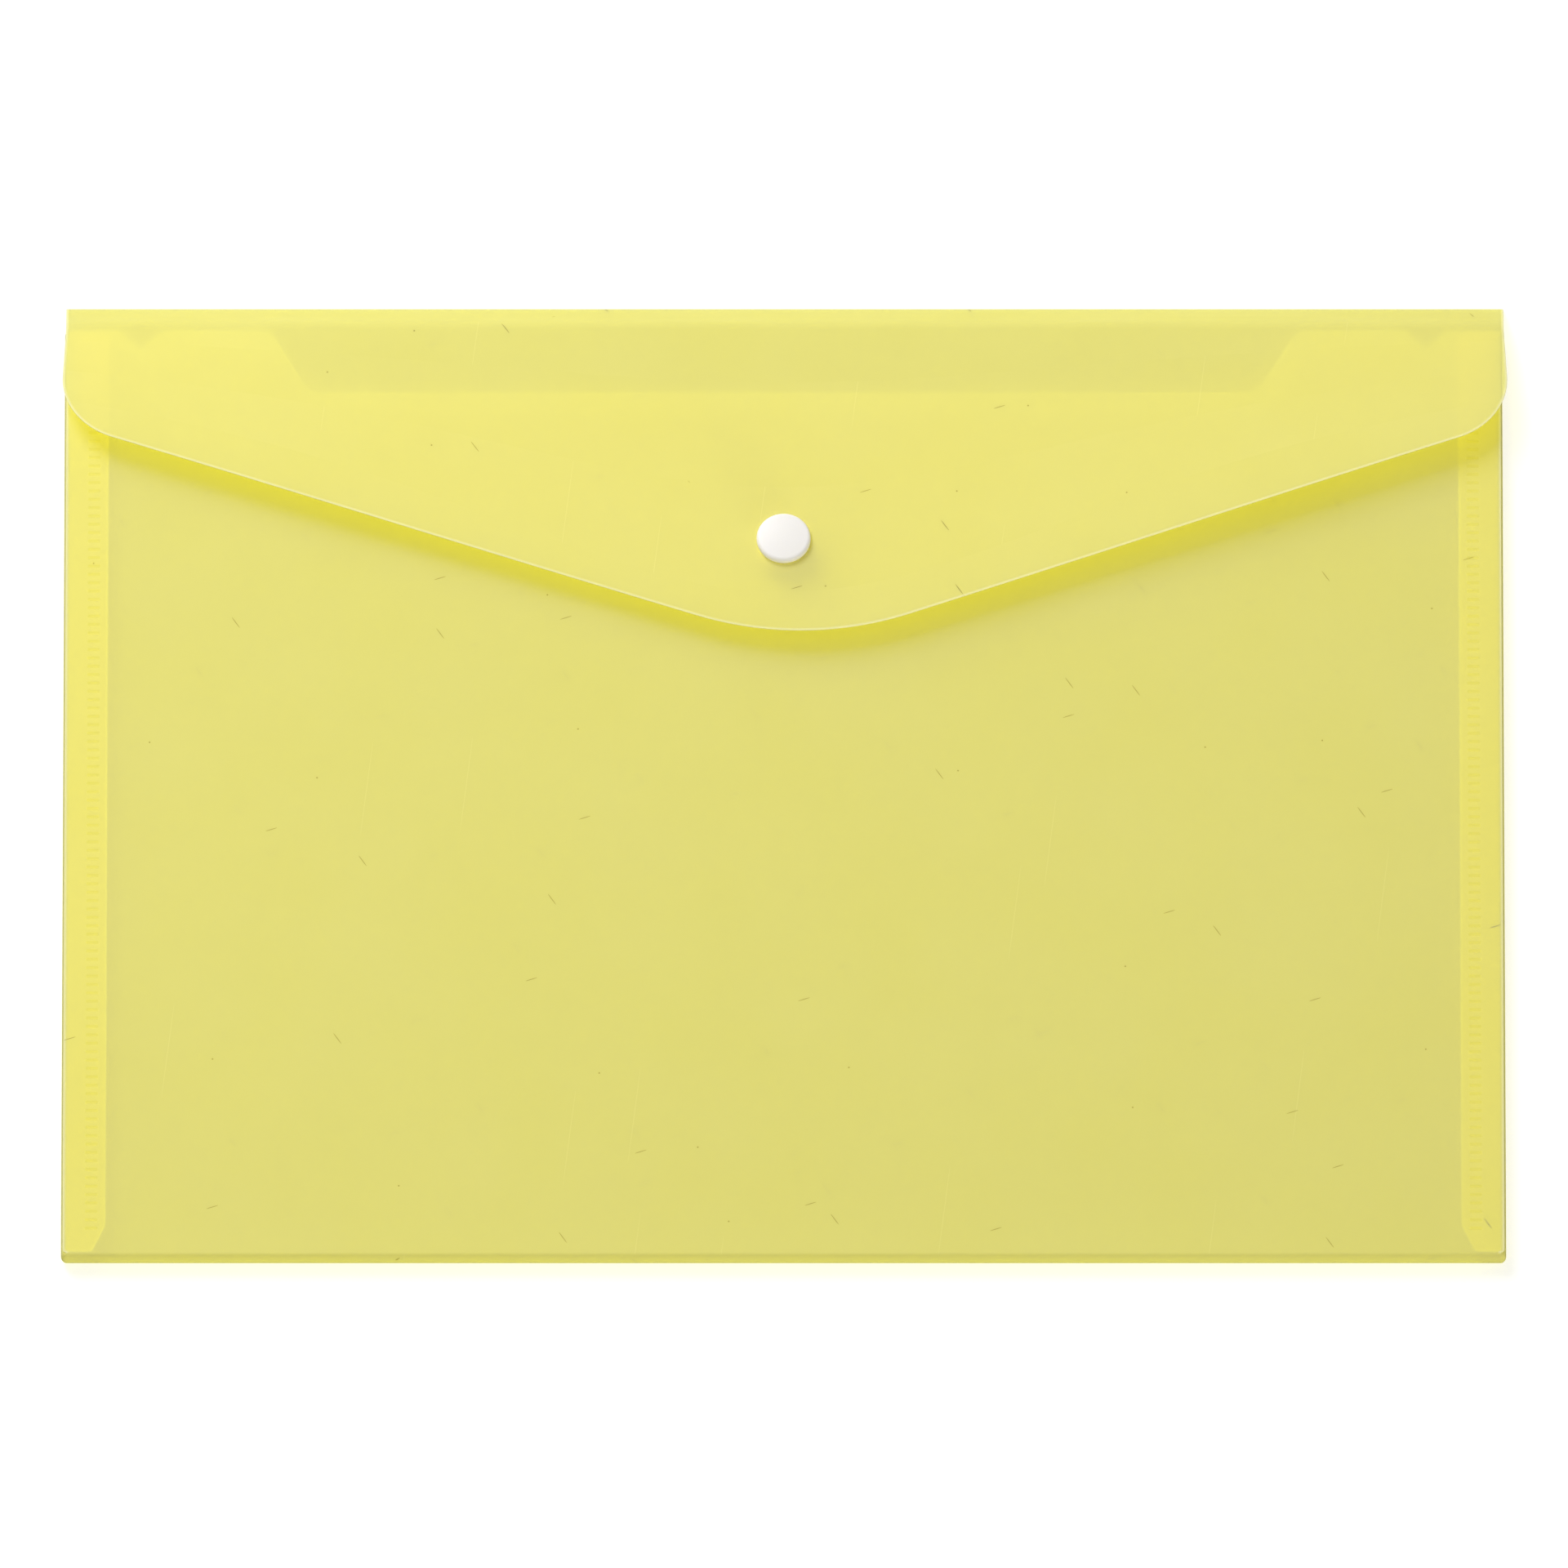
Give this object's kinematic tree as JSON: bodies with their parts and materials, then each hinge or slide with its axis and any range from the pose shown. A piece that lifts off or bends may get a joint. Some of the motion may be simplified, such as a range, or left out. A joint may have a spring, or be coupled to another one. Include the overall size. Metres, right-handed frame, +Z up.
{
  "type": "document pouch",
  "caption": "Translucent yellow plastic document pouch with a pointed closing flap held by a white press snap.",
  "frame": {"origin": "on the table under the middle of the pouch", "axes": "+X along the mouth to the picture's right, +Y from the bottom fold to the mouth, +Z up from the back panel"},
  "size_m": [0.3306, 0.2396, 0.0105],
  "materials": {
    "frosted_sheet": "frosted translucent polypropylene sheet",
    "snap_plastic": "smooth opaque white moulded plastic"
  },
  "bodies": {
    "pouch": {"back_panel": "frosted_sheet", "bottom_fold": "frosted_sheet", "front_panel": "frosted_sheet", "left_side_fold": "frosted_sheet", "right_side_fold": "frosted_sheet", "left_side_flap": "frosted_sheet", "right_side_flap": "frosted_sheet", "snap_stud": "snap_plastic", "stud_cap": "snap_plastic"},
    "top_fold": {"top_fold": "frosted_sheet"},
    "flap": {"flap": "frosted_sheet", "snap_cap": "snap_plastic", "snap_socket": "snap_plastic"}
  },
  "joints": [
    {"name": "lower_crease", "type": "hinge", "parent": "pouch", "child": "top_fold", "pos_m": [0, 0.12, 0.00013], "axis": [-1, 0, 0], "range_deg": [0, 140.1]},
    {"name": "upper_crease", "type": "hinge", "parent": "top_fold", "child": "flap", "pos_m": [0, 0.11413, 0.00502], "axis": [-1, 0, 0], "range_deg": [0, 28.9]}
  ],
  "couplings": [
    {"joint": "upper_crease", "follows": "lower_crease", "ratio": 0.206}
  ]
}
